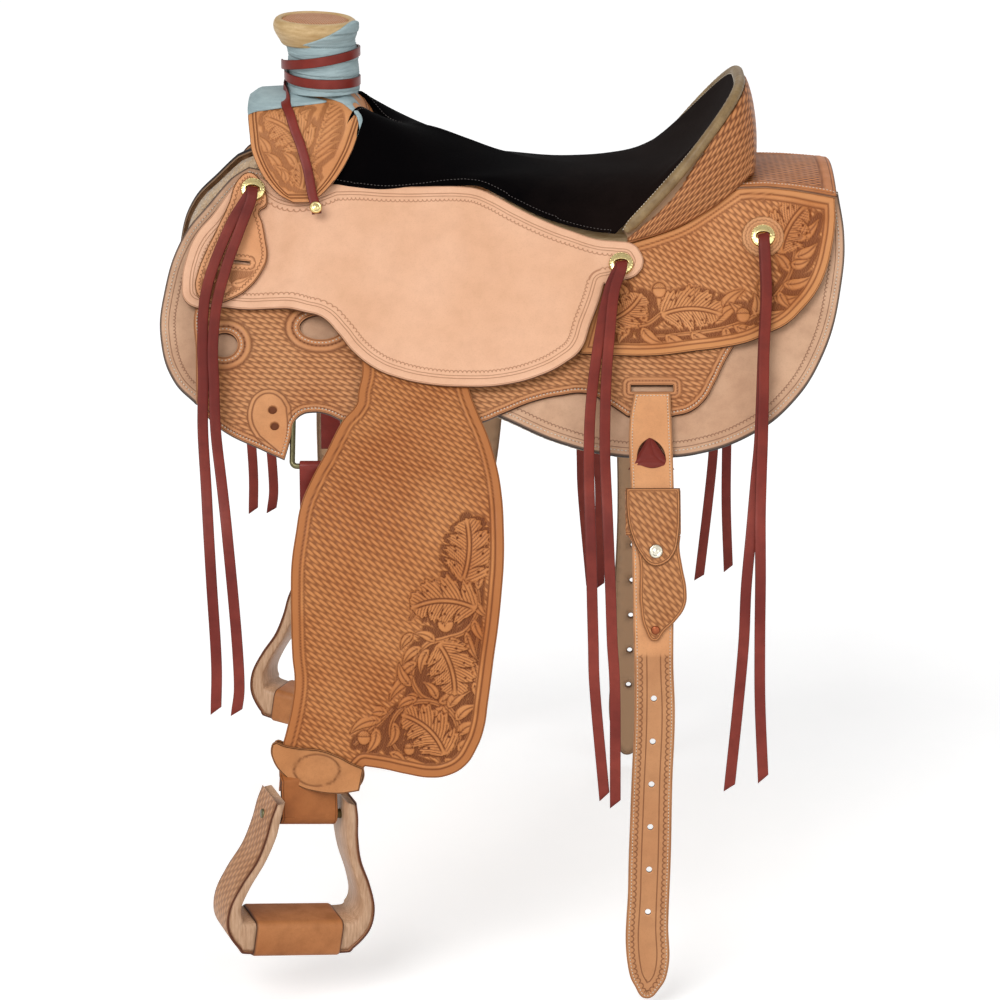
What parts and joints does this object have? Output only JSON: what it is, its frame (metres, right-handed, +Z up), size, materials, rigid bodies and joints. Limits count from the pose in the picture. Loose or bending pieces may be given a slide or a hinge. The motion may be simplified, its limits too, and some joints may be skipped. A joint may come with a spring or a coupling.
{
  "type": "wade saddle",
  "caption": "Wade saddle of carved and plain leather over a wooden tree, with a wrapped horn, dished suede seat, swinging fenders and stirrups, rigging dees and hanging strings.",
  "frame": {"origin": "on the centre plane in the arch between the bars, below the middle of the seat, where the horse's backbone lies", "axes": "+Z up, -X towards the horse's head (the horn end), -Y the near (left) side of the horse, +Y the off side"},
  "size_m": [0.7074, 0.7696, 0.9495],
  "materials": {
    "tooled_leather": "basket-stamped and carved russet leather with dark antiquing, satin",
    "natural_leather": "plain natural leather with a stamped border, satin",
    "latigo_leather": "burgundy oiled latigo leather, semi-gloss",
    "seat_suede": "black suede, matt",
    "rawhide": "olive-tan rawhide, rolled edge, satin",
    "horn_wrap": "blue-grey split leather, matt",
    "brass": "engraved polished brass",
    "steel": "plain satin steel",
    "wood": "varnished pale wood",
    "wool": "wool fleece lining, matt"
  },
  "bodies": {
    "saddle": {"cantle_back_cover": "tooled_leather", "cantle_binding": "rawhide", "concho_front_near": "brass", "concho_front_off": "brass", "concho_mid_near": "brass", "concho_mid_off": "brass", "concho_rear_near": "brass", "concho_rear_off": "brass", "fleece_near": "wool", "fleece_off": "wool", "fork_cover": "tooled_leather", "ground_seat": "natural_leather", "horn_cap_leather": "tooled_leather", "horn_post": "wood", "horn_rim_binding": "rawhide", "horn_strap_stud": "brass", "horn_wrap": "horn_wrap", "horn_wrap_strap": "latigo_leather", "rear_housing": "tooled_leather", "rear_jockey_near": "tooled_leather", "rear_jockey_off": "tooled_leather", "rigging_dee_near": "steel", "rigging_dee_off": "steel", "rigging_plate_near": "tooled_leather", "rigging_plate_off": "tooled_leather", "seat_jockey_near": "natural_leather", "seat_jockey_off": "natural_leather", "seat_pad": "seat_suede", "skirt_near": "natural_leather", "skirt_off": "natural_leather", "strap_keeper_near": "tooled_leather", "strap_keeper_off": "tooled_leather", "tree_bar_near": "wood", "tree_bar_off": "wood", "tree_cantle": "wood", "tree_fork": "wood"},
    "leather_near": {"stirrup_leather_near": "tooled_leather"},
    "fender_near": {"fender_near": "tooled_leather", "stirrup_hobble_near": "tooled_leather"},
    "stirrup_near": {"stirrup_frame_near": "wood", "stirrup_tread_near": "tooled_leather", "stirrup_bolt_near": "steel"},
    "billet_near": {"flank_billet_near": "tooled_leather", "billet_keeper_near": "tooled_leather"},
    "latigo_near": {"latigo_near": "latigo_leather"},
    "string_front_near": {"string_front_near": "latigo_leather"},
    "string_mid_near": {"string_mid_near": "latigo_leather"},
    "string_rear_near": {"string_rear_near": "latigo_leather"},
    "leather_off": {"stirrup_leather_off": "tooled_leather"},
    "fender_off": {"fender_off": "tooled_leather", "stirrup_hobble_off": "tooled_leather"},
    "stirrup_off": {"stirrup_frame_off": "wood", "stirrup_tread_off": "tooled_leather", "stirrup_bolt_off": "steel"},
    "billet_off": {"flank_billet_off": "tooled_leather", "billet_keeper_off": "tooled_leather"},
    "latigo_off": {"latigo_off": "latigo_leather"},
    "string_front_off": {"string_front_off": "latigo_leather"},
    "string_mid_off": {"string_mid_off": "latigo_leather"},
    "string_rear_off": {"string_rear_off": "latigo_leather"}
  },
  "joints": [
    {"name": "fender_swing_near", "type": "hinge", "parent": "saddle", "child": "leather_near", "pos_m": [-0.155, -0.13468, -0.04361], "axis": [0, 0.7771, -0.6293], "range_deg": [-12, 12]},
    {"name": "fender_lift_near", "type": "hinge", "parent": "leather_near", "child": "fender_near", "pos_m": [-0.088, -0.21334, -0.14123], "axis": [-1, 0, 0], "range_deg": [0, 50]},
    {"name": "stirrup_turn_near", "type": "hinge", "parent": "fender_near", "child": "stirrup_near", "pos_m": [-0.197, -0.33399, -0.54902], "axis": [-0.9305, -0.342, 0.1308], "range_deg": [-40, 40]},
    {"name": "billet_lift_near", "type": "hinge", "parent": "saddle", "child": "billet_near", "pos_m": [0.155, -0.20685, -0.13877], "axis": [-1, 0, 0], "range_deg": [0, 75]},
    {"name": "latigo_swing_near", "type": "hinge", "parent": "saddle", "child": "latigo_near", "pos_m": [-0.1855, -0.2521, -0.20378], "axis": [-1, 0, 0], "range_deg": [-15, 25]},
    {"name": "front_string_lift_near", "type": "hinge", "parent": "saddle", "child": "string_front_near", "pos_m": [-0.256, -0.08581, 0.04742], "axis": [-1, 0, 0], "range_deg": [0, 30]},
    {"name": "mid_string_lift_near", "type": "hinge", "parent": "saddle", "child": "string_mid_near", "pos_m": [0.125, -0.1283, -0.0215], "axis": [-1, 0, 0], "range_deg": [0, 30]},
    {"name": "rear_string_lift_near", "type": "hinge", "parent": "saddle", "child": "string_rear_near", "pos_m": [0.272, -0.10766, 0.0028], "axis": [-1, 0, 0], "range_deg": [0, 30]},
    {"name": "fender_swing_off", "type": "hinge", "parent": "saddle", "child": "leather_off", "pos_m": [-0.155, 0.13468, -0.04361], "axis": [0, 0.7771, 0.6293], "range_deg": [-12, 12]},
    {"name": "fender_lift_off", "type": "hinge", "parent": "leather_off", "child": "fender_off", "pos_m": [-0.088, 0.21334, -0.14123], "axis": [1, 0, 0], "range_deg": [0, 50]},
    {"name": "stirrup_turn_off", "type": "hinge", "parent": "fender_off", "child": "stirrup_off", "pos_m": [-0.197, 0.33399, -0.54902], "axis": [0.9305, -0.342, -0.1308], "range_deg": [-40, 40]},
    {"name": "billet_lift_off", "type": "hinge", "parent": "saddle", "child": "billet_off", "pos_m": [0.155, 0.20685, -0.13877], "axis": [1, 0, 0], "range_deg": [0, 75]},
    {"name": "latigo_swing_off", "type": "hinge", "parent": "saddle", "child": "latigo_off", "pos_m": [-0.1855, 0.2521, -0.20378], "axis": [1, 0, 0], "range_deg": [-15, 25]},
    {"name": "front_string_lift_off", "type": "hinge", "parent": "saddle", "child": "string_front_off", "pos_m": [-0.256, 0.08581, 0.04742], "axis": [1, 0, 0], "range_deg": [0, 30]},
    {"name": "mid_string_lift_off", "type": "hinge", "parent": "saddle", "child": "string_mid_off", "pos_m": [0.125, 0.1283, -0.0215], "axis": [1, 0, 0], "range_deg": [0, 30]},
    {"name": "rear_string_lift_off", "type": "hinge", "parent": "saddle", "child": "string_rear_off", "pos_m": [0.272, 0.10766, 0.0028], "axis": [1, 0, 0], "range_deg": [0, 30]}
  ]
}
